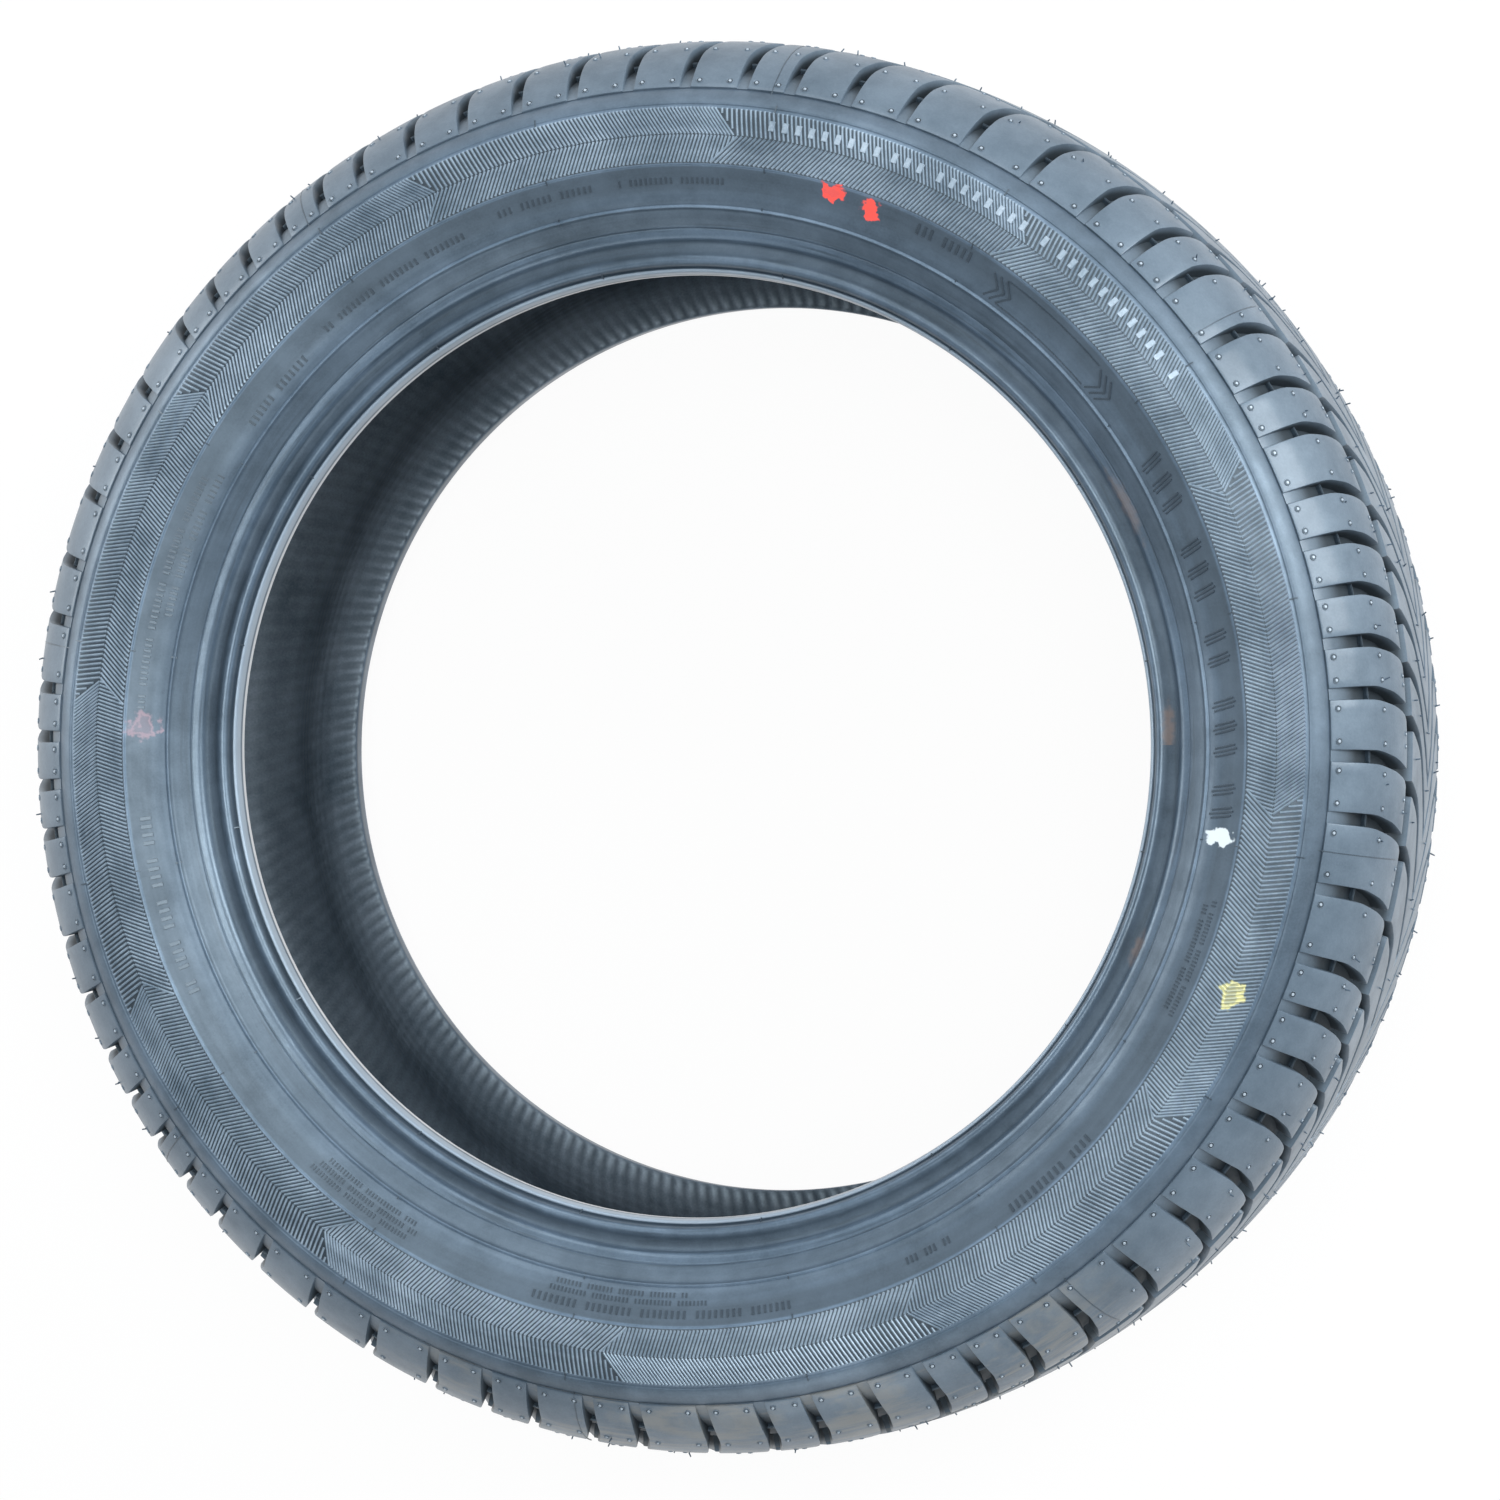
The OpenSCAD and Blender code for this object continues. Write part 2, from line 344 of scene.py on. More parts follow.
cloudy = calc(tree, "ADD", cloud, calc(tree, "MULTIPLY", calc(tree, "SUBTRACT", patch, 0.5), 0.6))
tone = calc(tree, "MULTIPLY_ADD", cloudy, given["Cloud"], 0.5)
tone = calc(tree, "MULTIPLY_ADD", streak, given["Streak"], tone)
tone = calc(tree, "MULTIPLY_ADD", grain, given["Grain"], tone)
tone = put(tree, "ShaderNodeClamp", [(0, tone)]).outputs[0]
dull_rough, bright_smoother = 0.56, -0.14
grain_high, patch_high = 0.03 * mm, 0.12 * mm
height = calc(tree, "MULTIPLY_ADD", grain, grain_high, calc(tree, "MULTIPLY", patch, patch_high))
tree.links.new(blend_colours(tree, tone, given["Dark"], given["Light"]), wanted["Color"])
tree.links.new(calc(tree, "MULTIPLY_ADD", tone, bright_smoother, dull_rough), wanted["Roughness"])
tree.links.new(height, wanted["Height"])

# Paint and chalk marks from the store, and faint stains, on the upper sidewall
paint_marks, given, wanted = open_group("paint_marks", [("Color", "Color")], [
    ("Color", "Color"), ("Paint", "Float")])
tree = paint_marks
point = put(tree, "ShaderNodeTexCoord").outputs["Object"]
at = use_group(tree, round_place)
ragged = calc(tree, "MULTIPLY", calc(tree, "SUBTRACT", noise(tree, point, 260.0, 3.0), 0.5), 2.4)
on_top = calc(tree, "GREATER_THAN", at["Height"], 0.0)
red_paint = (0.85, 0.055, 0.03, 1)
yellow_chalk = (0.78, 0.74, 0.30, 1)
white_paint = (0.72, 0.80, 0.85, 1)
pink_ink = (0.50, 0.30, 0.34, 1)
ochre_stain = (0.26, 0.16, 0.10, 1)
# Radius, degrees, half height and half width in millimetres, colour, strength, softness of the edge,
# and how much of the strength is left in the mark's middle
marks = [
    (227.6, 68.7, 3.8, 4.3, red_paint, 0.95, 0.12, 1.0),
    (229.6, 73.0, 3.0, 5.2, red_paint, 0.95, 0.12, 0.8),
    (224.6, 350.8, 5.0, 3.2, white_paint, 0.8, 0.15, 1.0),
    (225.4, 177.8, 5.2, 5.8, pink_ink, 0.4, 0.2, 0.4),
    (247.0, 336.8, 4.6, 5.4, yellow_chalk, 0.7, 0.15, 0.5),
    (199.5, 1.4, 2.2, 9.0, ochre_stain, 0.35, 0.6, 1.0),
    (206.0, 27.5, 2.0, 12.0, ochre_stain, 0.25, 0.6, 1.0),
    (203.0, 337.0, 1.6, 6.0, ochre_stain, 0.3, 0.6, 1.0)]
painted = given["Color"]
covered = 0.0
for r, degrees_at, tall, wide, colour, strength, edge, middle in marks:
    up_off = calc(tree, "DIVIDE", calc(tree, "SUBTRACT", at["Radius"], r), tall)
    turn_off = calc(tree, "DIVIDE", calc(tree, "SUBTRACT", at["Degrees"], degrees_at),
                    math.degrees(wide / r))
    far = calc(tree, "ADD", diagonal(tree, up_off, turn_off), ragged)
    there = ramp_between(tree, far, 1.0 - edge, 1.0 + edge, strength, 0.0)
    there = calc(tree, "MULTIPLY", there, ramp_between(tree, far, 0.45, 0.75, middle, 1.0))
    there = calc(tree, "MULTIPLY", there, on_top)
    painted = blend_colours(tree, there, painted, colour)
    covered = calc(tree, "MAXIMUM", covered, there)
tree.links.new(painted, wanted["Color"])
tree.links.new(covered, wanted["Paint"])

sheen = (0.70, 0.87, 1.0, 1)


def rubber_skin(tree, colour, rough, gloss, *more):
    """The surface of a rubber material, with the cool sheen that all the tyre's rubber has."""
    skin = put(tree, "ShaderNodeBsdfPrincipled", [
        ("Base Color", colour), ("Roughness", rough), ("Specular IOR Level", gloss),
        ("Specular Tint", sheen), *more])
    put(tree, "ShaderNodeOutputMaterial", [("Surface", skin.outputs[0])])


def moulded(tree, *values):
    """Places the moulded rubber with its dark and light tones, and how cloudy, streaky and grainy it is."""
    return use_group(tree, rubber, list(zip(("Dark", "Light", "Cloud", "Streak", "Grain"), values)))


sidewall_dark = (0.018, 0.032, 0.050, 1)
sidewall_light = (0.068, 0.100, 0.140, 1)
# Radius and tone of the rings on the outer side, from the bead seat to the block feet: partly polished and
# matt finish, partly painted highlights on facets and edges that face the lamps and painted shade in the
# bead valley and between the ribs
finish_and_painted_light_rings = [
    (190.9, 0.8), (191.5, 2.0), (192.6, 1.8), (193.1, 0.35), (193.7, 0.6), (194.8, 1.4), (196.8, 1.2),
    (198.4, 0.8), (203.2, 0.8), (204.8, 1.3), (208.0, 1.3), (209.6, 0.85), (215.8, 0.85), (216.2, 1.7),
    (216.9, 1.7), (217.3, 1.0), (221.5, 1.0), (224.5, 0.72), (231.6, 0.7), (232.1, 1.8), (232.8, 1.8),
    (233.1, 0.3), (255.3, 0.3), (255.5, 2.0), (256.2, 1.5), (258.0, 1.05), (263.0, 0.9)]
ring_start, ring_end = 188.0, 266.0
parting_dark = (0.02, 0.028, 0.036, 1)
toe_edge_highlight = (0.42, 0.43, 0.44, 1)
heel_painted_highlight = (0.30, 0.36, 0.42, 1)
smudge_dark = (0.012, 0.020, 0.030, 1)
sidewall_rubber, tree = blank_material("sidewall_rubber")
at = use_group(tree, round_place)
outside = moulded(tree, sidewall_dark, sidewall_light, 1.8, 0.9, 0.5)
across = ramp_between(tree, at["Radius"], ring_start, ring_end, bend="LINEAR")
rings = put(tree, "ShaderNodeValToRGB", [(0, across)])
stops = rings.color_ramp.elements
while len(stops) < len(finish_and_painted_light_rings):
    stops.new(0.5)
for stop, (ring_at, tone) in zip(stops, finish_and_painted_light_rings):
    stop.position = (ring_at - ring_start) / (ring_end - ring_start)
    stop.color = (tone / 2, tone / 2, tone / 2, 1)
ring_finish_and_painted_light = calc(tree, "MULTIPLY", rings.outputs[0], 2.0)
ring_finish_and_painted_light = put(tree, "ShaderNodeCombineColor", [(0, ring_finish_and_painted_light), (1, ring_finish_and_painted_light), (2, ring_finish_and_painted_light)]).outputs[0]
# The rings' painted light and shade is multiplied into the rubber's colour
shade = blend_colours(tree, 1.0, outside["Color"], ring_finish_and_painted_light, "MULTIPLY")
# The step where the mould's bead ring meets its side plate shows as a broken dark line
broken = calc(tree, "GREATER_THAN", noise(tree, at["Ring"], 9.0, 2.0), 0.56)
dashes = calc(tree, "MULTIPLY", inside_band(tree, at["Radius"], 208.2, 208.8, 0.15), broken)
shade = blend_colours(tree, calc(tree, "MULTIPLY", dashes, 0.45), shade, parting_dark)
# A thin pale line on the toe of the upper bead: a painted highlight of its sharp glossy edge
toe_highlight_line = calc(tree, "MULTIPLY", calc(tree, "LESS_THAN", at["Radius"], 192.0),
             inside_band(tree, at["Height"], 69.0, 73.4, 0.3))
shade = blend_colours(tree, toe_highlight_line, shade, toe_edge_highlight)
# The heel of the bead carries a painted highlight as a light band, and the valley above it is smudged with
# mould lubricant
heel_highlight_band = calc(tree, "MULTIPLY", calc(tree, "GREATER_THAN", at["Height"], 75.0),
            inside_band(tree, at["Radius"], 190.9, 192.7, 0.25))
shade = blend_colours(tree, calc(tree, "MULTIPLY", heel_highlight_band, 0.6), shade, heel_painted_highlight)
blotches = ramp_between(tree, noise(tree, at["Ring"], 4.2, 5.0, 0.65), 0.5, 0.66)
smudge = calc(tree, "MULTIPLY", blotches, inside_band(tree, at["Radius"], 195.0, 212.0, 2.5))
shade = blend_colours(tree, calc(tree, "MULTIPLY", smudge, 0.6), shade, smudge_dark)
marked = use_group(tree, paint_marks, [("Color", shade)])
polish = inside_band(tree, at["Radius"], 189.0, 208.5, 1.0)
dull = inside_band(tree, at["Radius"], 198.4, 203.4, 0.8)
rough = calc(tree, "MULTIPLY_ADD", polish, -0.12, outside["Roughness"])
rough = calc(tree, "MULTIPLY_ADD", dull, 0.35, rough)
rough = calc(tree, "MULTIPLY_ADD", marked["Paint"], 0.2, rough)
rubber_skin(tree, marked["Color"], rough, 1.0, ("Normal", relief(tree, outside["Height"])))

liner_dark = (0.050, 0.070, 0.090, 1)
liner_light = (0.150, 0.186, 0.224, 1)
painted_shade_between_ribs = (0.014, 0.020, 0.026, 1)
bladder_ribs = 227.0
bladder_lean = 0.3
bladder_deep = 0.15 * mm
liner_rubber, tree = blank_material("liner_rubber")
at = use_group(tree, round_place)
inside = moulded(tree, liner_dark, liner_light, 1.6, 0.4, 0.8)
lean = calc(tree, "MULTIPLY", at["Radius"], -bladder_lean)
rib_turn = calc(tree, "MULTIPLY", calc(tree, "RADIANS", at["Degrees"]), bladder_ribs)
rib_wave = calc(tree, "SINE", calc(tree, "ADD", rib_turn, lean))
cross_wave = calc(tree, "SINE", calc(tree, "MULTIPLY", at["Height"], 2.6))
weave = calc(tree, "MULTIPLY_ADD", cross_wave, 0.35, rib_wave)
ribbed = ramp_between(tree, weave, -0.9, 0.9)
# The grooves between the ribs are darkened with painted shade, strong next to the bead and fading up the
# wall
sharp = ramp_between(tree, at["Radius"], 194.0, 206.0, 0.45, 0.14)
shade = blend_colours(tree, calc(tree, "MULTIPLY", ribbed, sharp), inside["Color"], painted_shade_between_ribs)
grooves = calc(tree, "MULTIPLY", weave, -bladder_deep)
rubber_skin(tree, shade, 0.42, 0.6, ("Normal", relief(tree, grooves)))

carcass.data.materials.append(sidewall_rubber)
carcass.data.materials.append(liner_rubber)


def level_on(line, x, y):
    """Height in millimetres of a line of (radius, height) points, over a place in metres."""
    r = math.hypot(x, y) / mm
    k = min(max(bisect.bisect([place for place, level in line], r), 1), len(line) - 1)
    (r0, z0), (r1, z1) = line[k - 1], line[k]
    return z0 + (z1 - z0) * (r - r0) / (r1 - r0)


# The liner is every face that lies behind the middle of the wall
wall_middle = [(188, 70.3), (191.6, 70.3), (194, 72.5), (204, 76), (215, 86), (225, 93), (235, 96.8),
               (245, 97), (256, 93.7), (262, 89), (266, 84), (270, 76), (274, 66), (277, 45), (277.5, 0)]
for face in carcass.data.polygons:
    limit = level_on(wall_middle, face.center.x, face.center.y)
    face.material_index = int(abs(face.center.z) / mm < limit)
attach(carcass, "root")
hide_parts("tyre")


# Tread: 72 shoulder blocks a side in three lengths, two ring grooves and slanting grooves in a V.
# It is moulded in one with the carcass. The grooves are sunk into a spun band, and every rim is rounded.
pitch_code = ("SSSSMSMLSMLLLMMSMMMMMMMSSSSSLMMLMLSS" "SSMMMSSSSMLLLMSMSLMSMMSSMLLMMMSSLLMM")
pitch_degrees = {"S": 4.25, "M": 5.15, "L": 6.05}
first_groove = 4.2
groove_half = 0.54
block_parts = 5
crown_r, crown_edge = 560.0, 50.0
foot = (264.7, 92.0)
foot_sunk = 1.6
ring_depth, ring_inner = 7.8, 39.5
ring_lean = 1.6
groove_depth, slot_depth = 7.2, 7.2
wall_draft = 0.05
rim_round = 0.5
core_line = [(261.0, 87.5), (268.6, 76.5), (271.6, 67), (274.0, 55), (276.2, 42), (277.6, 22), (277.9, 0)]


def crown(z):
    """Radius of the tread's middle part at a height."""
    return outer_r - crown_r + math.sqrt(crown_r * crown_r - z * z)


edge_r = crown(crown_edge)
edge_turn = math.asin(crown_edge / crown_r)
shoulder_turn = 2 * (math.atan2(edge_r - foot[0], foot[1] - crown_edge) - edge_turn)
shoulder_r = math.dist((edge_r, crown_edge), foot) / (2 * math.sin(shoulder_turn / 2))


def shoulder(t, depth=0.0):
    """Point under the shoulder's arc: t runs from 0 at the tread's edge to 1 at the block foot."""
    a = edge_turn + shoulder_turn * t
    return (edge_r - shoulder_r * (math.cos(edge_turn) - math.cos(a)) - depth * math.cos(a),
            crown_edge + shoulder_r * (math.sin(a) - math.sin(edge_turn)) - depth * math.sin(a))


def between(table, at):
    """Value at a place in a table of (place, value) pairs with falling places."""
    for (high, first), (low, second) in zip(table, table[1:]):
        if at >= low:
            return first + (second - first) * (high - min(at, high)) / (high - low)
    return table[-1][1]


# Depth of the shoulder grooves by place on the arc, and then by height on the tyre: how many degrees the
# grooves turn on, how wide they are to each side in degrees, and how far a block's corner is cut back
shelf = [(1, 0.5), (0.94, 1.0), (0.84, 1.9), (0.76, 3.0), (0.68, 4.4), (0.6, 5.7), (0.5, 6.8),
         (0.4, groove_depth), (0, groove_depth)]
groove_turn = [(92, 0), (82, 0), (74, -0.05), (62, -0.6), (50, -1.4), (39.5, -2.35), (36, -2.6),
               (33, -2.9), (30, -3.2), (27, -3.5), (24, -3.9), (21, -4.5), (18, -5.5), (16, -6.2),
               (14, -6.9), (7, -9.2), (0, -11)]
groove_width = [(92, 0.51), (74, 0.547), (62, 0.53), (50, 0.48), (39.5, 0.5), (36, 0.58), (24, 0.62),
                (21, 0.66), (18, 0.78), (14, 0.8), (7, 0.6), (0, 0.2)]
corner_round = {0.05: 0.06, 0.018: 0.22, 0: 0.6, 39.5: 0.6, 38.8: 0.22, 37.5: 0.06}

# Every row of the band: its place on top, its place where a groove is sunk, and its corner's cut
shoulder_rows = (1, 0.97, 0.94, 0.9, 0.84, 0.78, 0.72, 0.66, 0.6, 0.54, 0.48, 0.44, 0.4, 0.33, 0.26, 0.19,
                 0.11, 0.05, 0.018, 0)
crown_rows = (ring_inner, 38.8, 37.5, 36, 33, 30, 27, 24, 21, 18, 16, 14, 7, 0)
rows = []
for t in shoulder_rows:
    low = shoulder(t, between(shelf, t)) if t else (edge_r - ring_depth, crown_edge - ring_lean)
    rows.append((shoulder(t), low, corner_round.get(t, 0)))
for z in crown_rows:
    low = (crown(z) - ring_depth, z + ring_lean) if z == ring_inner else (crown(z) - slot_depth, z)
    rows.append(((crown(z), z), low, corner_round.get(z, 0)))
ring_row = len(shoulder_rows) - 1
rows = rows + [((top[0], -top[1]), (low[0], -low[1]), corner) for top, low, corner in rows[-2::-1]]
ring_rows = {ring_row, ring_row + 1, len(rows) - 1 - ring_row, len(rows) - 2 - ring_row}

groove_starts = []
angle = first_groove
for letter in pitch_code:
    groove_starts.append(angle)
    angle += pitch_degrees[letter]


tread = draw_section("tread", [top for top, low, corner in rows], closed=False)
mesh = bmesh.from_edit_mesh(tread.data)
for layer in ("row", "side", "low"):
    mesh.verts.layers.int.new(layer)
row_of, side_of, low_of = (mesh.verts.layers.int[layer] for layer in ("row", "side", "low"))
for v in mesh.verts:
    v[row_of] = min(range(len(rows)), key=lambda k: abs(rows[k][0][1] - v.co.z / mm))
bpy.ops.transform.rotate(value=-math.radians(first_groove - groove_half), orient_axis="Z",
                         center_override=(0, 0, 0))
for letter in pitch_code:
    for steps, degrees in ((1, 2 * groove_half), (block_parts, pitch_degrees[letter] - 2 * groove_half)):
        bpy.ops.mesh.spin(steps=steps, angle=math.radians(degrees), center=(0, 0, 0), axis=(0, 0, -1))
close_up(0.02)

# The edges of each groove, in degrees round the tyre, are marked -1 and 1, and those inside a block 0
columns = {0: 0}
for start, letter in zip(groove_starts, pitch_code):
    part = (pitch_degrees[letter] - 2 * groove_half) / block_parts
    columns.update({round(start - groove_half, 2): -1, round(start + groove_half, 2): 1})
    columns.update({round(start + groove_half + part * k, 2): 0 for k in range(1, block_parts)})
column_places = sorted(columns)


def nearest_column(v):
    """Which edge of a groove a vertex is on: -1, 1, or 0 inside a block."""
    at = math.degrees(math.atan2(v.co.y, v.co.x)) % 360
    k = bisect.bisect(column_places, at)
    return columns[min(column_places[max(0, k - 1):k + 1], key=lambda c: abs(c - at))]


def layers_of(piece):
    """The open mesh of a piece and its three number layers."""
    mesh = bmesh.from_edit_mesh(piece.data)
    return mesh, *(mesh.verts.layers.int[layer] for layer in ("row", "side", "low"))


def choose(piece, wanted, kind="VERT"):
    """Selects only those vertices, edges or faces of an open piece that a test wants."""
    bpy.ops.mesh.select_mode(type=kind)
    bpy.ops.mesh.select_all(action="DESELECT")
    mesh = bmesh.from_edit_mesh(piece.data)
    for item in {"VERT": mesh.verts, "EDGE": mesh.edges, "FACE": mesh.faces}[kind]:
        if wanted(item):
            item.select = True
    mesh.select_flush_mode()
    bmesh.update_edit_mesh(piece.data, loop_triangles=False, destructive=False)


def pull_out():
    """Extrudes what is selected and leaves the new part in the old one's place."""
    bpy.ops.mesh.extrude_region_move(TRANSFORM_OT_translate={"value": (0, 0, 0)})


def move_ring(start, end):
    """Moves what is selected from one (radius, height) to another, all round the tyre."""
    grow = end[0] / start[0]
    bpy.ops.transform.resize(value=(grow, grow, 1), center_override=(0, 0, 0))
    bpy.ops.transform.translate(value=(0, 0, (end[1] - start[1]) * mm))


def turn_by(degrees):
    """Turns what is selected round the tyre's axis."""
    bpy.ops.transform.rotate(value=-math.radians(degrees), orient_axis="Z", center_override=(0, 0, 0))


mesh, row_of, side_of, low_of = layers_of(tread)
for v in mesh.verts:
    v[side_of] = nearest_column(v)
for k, (top, low, corner) in enumerate(rows):
    level = abs(top[1])
    if between(groove_turn, level):
        choose(tread, lambda v: v[row_of] == k)
        turn_by(between(groove_turn, level))
    narrow = groove_half - between(groove_width, level)
    choose(tread, lambda v: v[row_of] == k and v[side_of] == -1)
    turn_by(narrow - corner)
    choose(tread, lambda v: v[row_of] == k and v[side_of] == 1)
    turn_by(-narrow)


def in_groove(face):
    """Whether a face of the band lies in a slanting groove or a ring groove."""
    across = {v[side_of] for v in face.verts} == {-1, 1}
    return across or {v[row_of] for v in face.verts} <= ring_rows


choose(tread, in_groove, "FACE")
pull_out()
mesh, row_of, side_of, low_of = layers_of(tread)
for v in mesh.verts:
    v[low_of] = int(v.select)
for k, (top, low, corner) in enumerate(rows):
    choose(tread, lambda v: v[low_of] and v[row_of] == k)
    move_ring(top, low)
for edge_side in (-1, 1):
    choose(tread, lambda v: v[low_of] and v[side_of] == edge_side)
    turn_by(-edge_side * wall_draft)

# The ends of the grooves are open, and the band is closed underneath
last_row = len(rows) - 1
choose(tread, lambda face: {v[row_of] for v in face.verts} in ({0}, {last_row}), "FACE")
bpy.ops.mesh.delete(type="FACE")
core = 2
for sign, end_row in ((1, 0), (-1, last_row)):
    choose(tread, lambda e: e.is_boundary and {v[row_of] for v in e.verts} == {end_row}, "EDGE")
    pull_out()
    bpy.ops.mesh.select_mode(type="VERT")
    mesh, row_of, side_of, low_of = layers_of(tread)
    for v in mesh.verts:
        if v.select:
            v[low_of] += core
    sunk = shoulder(1, foot_sunk)
    choose(tread, lambda v: v[low_of] == core and v[row_of] == end_row)
    move_ring((foot[0], sign * foot[1]), (sunk[0], sign * sunk[1]))
    choose(tread, lambda v: v[low_of] == core + 1 and v[row_of] == end_row)
    rise = shoulder(1, shelf[0][1])
    move_ring((rise[0], sign * rise[1]), (sunk[0], sign * sunk[1]))
    choose(tread, lambda v: v[low_of] >= core and v[row_of] == end_row)
    bpy.ops.mesh.remove_doubles(threshold=0.05 * mm)
    last = sunk
    for r, z in core_line:
        pull_out()
        move_ring((last[0], sign * last[1]), (r, sign * z))
        last = (r, z)
choose(tread, lambda v: v[low_of] >= core)
bpy.ops.mesh.remove_doubles(threshold=0.1 * mm)


def on_rim(e):
    """Whether an edge lies between a block's top and one of its walls."""
    if len(e.link_faces) != 2 or any(v[low_of] for v in e.verts):
        return False
    return sorted(any(v[low_of] for v in face.verts) for face in e.link_faces) == [False, True]


mesh, row_of, side_of, low_of = layers_of(tread)
choose(tread, on_rim, "EDGE")
bpy.ops.mesh.bevel(offset=rim_round * mm, segments=2, profile=0.6, affect="EDGES", clamp_overlap=True)
close_up()
bpy.ops.object.mode_set(mode="OBJECT")
for layer in ("row", "side", "low"):
    tread.data.attributes.remove(tread.data.attributes[layer])
bpy.ops.object.shade_smooth_by_angle(angle=math.radians(35))

tread_dark = (0.038, 0.059, 0.083, 1)
tread_light = (0.104, 0.142, 0.183, 1)
groove_painted_shade = (0.008, 0.012, 0.016, 1)
tread_rubber, tree = blank_material("tread_rubber")
outside = moulded(tree, tread_dark, tread_light, 1.3, 0.3, 0.4)
# Depth below the block faces: they are lightly dusted and glossy, and the grooves get painted shade that
# darkens them towards black the deeper they lie
at = use_group(tree, round_place)
arc_r = edge_r - shoulder_r * math.cos(edge_turn)
arc_z = crown_edge - shoulder_r * math.sin(edge_turn)
height = calc(tree, "ABSOLUTE", at["Height"])
from_arc = diagonal(tree, calc(tree, "SUBTRACT", at["Radius"], arc_r),
                    calc(tree, "SUBTRACT", height, arc_z))
shoulder_depth = calc(tree, "SUBTRACT", shoulder_r, from_arc)
crown_drop = calc(tree, "DIVIDE", calc(tree, "MULTIPLY", height, height), -2 * crown_r)
crown_depth = calc(tree, "SUBTRACT", calc(tree, "ADD", crown_drop, outer_r), at["Radius"])
on_flank = calc(tree, "GREATER_THAN", height, crown_edge)
depth_here = put(tree, "ShaderNodeMix", [(0, on_flank), (2, crown_depth), (3, shoulder_depth)]).outputs[0]
deep = ramp_between(tree, depth_here, 0.1, 4.4, 0.0, 0.94)
# Dry road dust lies in patches on the blocks that the tyre has stood on
dust_colour = (0.185, 0.178, 0.155, 1)
patches = ramp_between(tree, noise(tree, at["Ring"], 5.0, 5.0, 0.65), 0.44, 0.62, 0.0, 0.6)
dusty = calc(tree, "MULTIPLY", patches, inside_band(tree, at["Degrees"], 246.0, 308.0, 9.0))
shade = blend_colours(tree, dusty, outside["Color"], dust_colour)
# Painted shade in the grooves, deeper by depth
shade = blend_colours(tree, deep, shade, groove_painted_shade)
rough = calc(tree, "MULTIPLY_ADD", deep, 0.2, outside["Roughness"])
polish = calc(tree, "MULTIPLY_ADD", deep, -0.25, 0.3)
rubber_skin(tree, shade, rough, 0.6, ("Normal", relief(tree, outside["Height"])),
            ("Coat Weight", polish), ("Coat Roughness", 0.2))
tread.data.materials.append(tread_rubber)
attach(tread, "root")
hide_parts("tyre")


# Serrated bands: some 1800 fine straight ribs on each sidewall, in two rows that meet as a herringbone.
# The mould cuts them in twelve sectors, in each of which the ribs of a row are parallel.
# One rib is modelled and copied over one sector, which is then turned round the tyre and mirrored.
sector_count, first_sector = 12, -6.7
rib_inner_r, rib_middle_r, rib_outer_r = 233.4, 244.6, 255.6
rib_lean = 26.5
rib_pitch, rib_base, rib_top, rib_height = 1.49, 1.36, 0.16, 0.62
rib_sunk, rib_gap = 0.25, 0.15
quiet_sectors, quiet_height = (8, 9), 0.6
band_curve = [(233.0, 100.75), (238.5, 100.8), (244.6, 100.62), (249.6, 100.08), (255.6, 98.7)]

rib = start_from(bpy.ops.mesh.primitive_cube_add, size=1)
bpy.ops.transform.translate(value=(0.5, 0, 0))
choose(rib, lambda e: abs(e.verts[0].co.x - e.verts[1].co.x) > 0.5, "EDGE")
bpy.ops.mesh.subdivide(number_cuts=2)
bpy.ops.mesh.select_all(action="SELECT")
bpy.ops.transform.resize(value=(mm, rib_base * mm, (rib_height + rib_sunk) * mm), center_override=(0, 0, 0))
bpy.ops.transform.translate(value=(0, 0, (rib_height - rib_sunk) / 2 * mm))
choose(rib, lambda v: v.co.z > 0)
bpy.ops.transform.resize(value=(1, rib_top / rib_base, 1), center_override=(0, 0, 0))
bpy.ops.object.mode_set(mode="OBJECT")


def heading(degrees):
    """Unit vector at an angle in the plane of the wheel."""
    return Vector((math.cos(math.radians(degrees)), math.sin(math.radians(degrees))))


def reach_ring(start, way, r):
    """Distance from a point, along a direction, to the ring of a radius."""
    along = start.dot(way)
    return -along + math.sqrt(along * along - start.dot(start) + r * r)


def reach_line(start, way, other_start, other_way):
    """Distance from a point, along a direction, to another straight line."""
    gap = other_start - start
    return gap.cross(other_way) / way.cross(other_way)


def rib_place(start, degrees, near, far):
    """Matrix that lays a rib from one distance to another along its line."""
    spot = start + heading(degrees) * near
    return (Matrix.Translation((spot.x * mm, spot.y * mm, 0))
            @ Matrix.Rotation(math.radians(degrees), 4, "Z") @ Matrix.Diagonal((far - near, 1, 1, 1)))


sector_degrees = 360 / sector_count
sector_middle = first_sector + sector_degrees / 2
inner_way, outer_way = sector_middle - rib_lean, sector_middle + rib_lean
border = heading(first_sector) * rib_middle_r
next_border = heading(first_sector + sector_degrees) * rib_middle_r
rib_places = []
offset = rib_middle_r * math.sin(math.radians(first_sector - inner_way))
while True:
    offset += rib_pitch
    at = inner_way + math.degrees(math.asin(offset / rib_middle_r))
    start = heading(at) * rib_middle_r
    if at < first_sector + sector_degrees:
        down = heading(inner_way + 180)
        across = rib_middle_r * math.cos(math.radians(at - inner_way))
        length = across - math.sqrt(rib_inner_r ** 2 - offset ** 2)
        cut = reach_line(start, down, border, heading(inner_way + 180 - sector_degrees))
        if 0 < cut < length:
            length = cut
        rib_places.append(rib_place(start, inner_way + 180, rib_gap, length))
    begin = rib_gap
    if at > first_sector + sector_degrees:
        begin = reach_line(start, heading(outer_way), next_border, heading(outer_way + sector_degrees))
    end = reach_ring(start, heading(outer_way), rib_outer_r)
    if begin > end - 1:
        break
    rib_places.append(rib_place(start, outer_way, begin, end))


